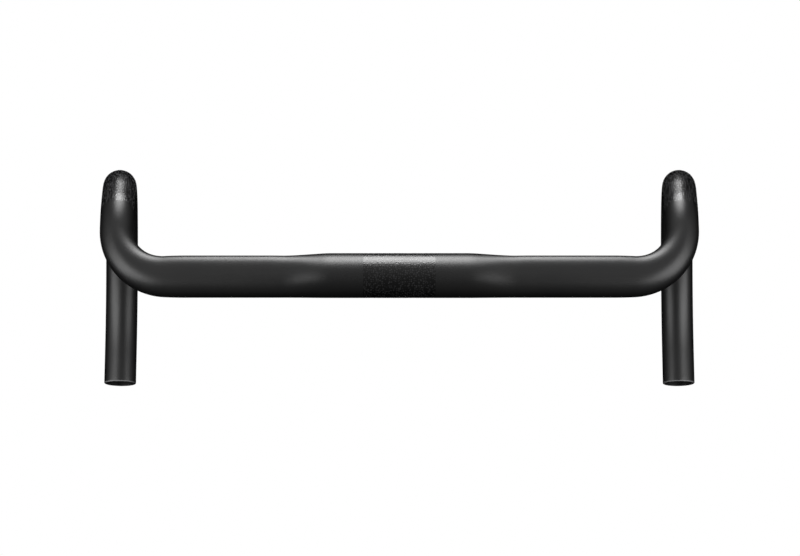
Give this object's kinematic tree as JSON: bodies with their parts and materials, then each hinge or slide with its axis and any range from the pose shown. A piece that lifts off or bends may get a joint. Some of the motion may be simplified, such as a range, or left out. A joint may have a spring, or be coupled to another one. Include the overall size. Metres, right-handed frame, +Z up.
{
  "type": "drop handlebar",
  "caption": "Bare compact drop handlebar with a round stem clamp zone, oval tops, short ramps, slightly flared hooks and open drop ends.",
  "frame": {"origin": "centre of the stem clamp zone, on its axis", "axes": "+X along the clamp axis to the rider's right, +Y forward, +Z up"},
  "size_m": [0.4438, 0.1432, 0.16],
  "materials": {
    "composite_skin": "satin black moulded composite",
    "inner_laminate": "bare laminate",
    "grip_texture": "fine speckled anti-slip coat",
    "adhesive": "cured structural adhesive"
  },
  "bodies": {
    "root": {"centre_section": "composite_skin", "clamp_reinforcement": "inner_laminate", "stem_grip_band": "grip_texture", "left_drop_section": "composite_skin", "right_drop_section": "composite_skin", "left_joint_sleeve": "inner_laminate", "right_joint_sleeve": "inner_laminate", "left_bond_film": "adhesive", "right_bond_film": "adhesive", "left_lever_grip_band": "grip_texture", "right_lever_grip_band": "grip_texture"}
  },
  "joints": []
}
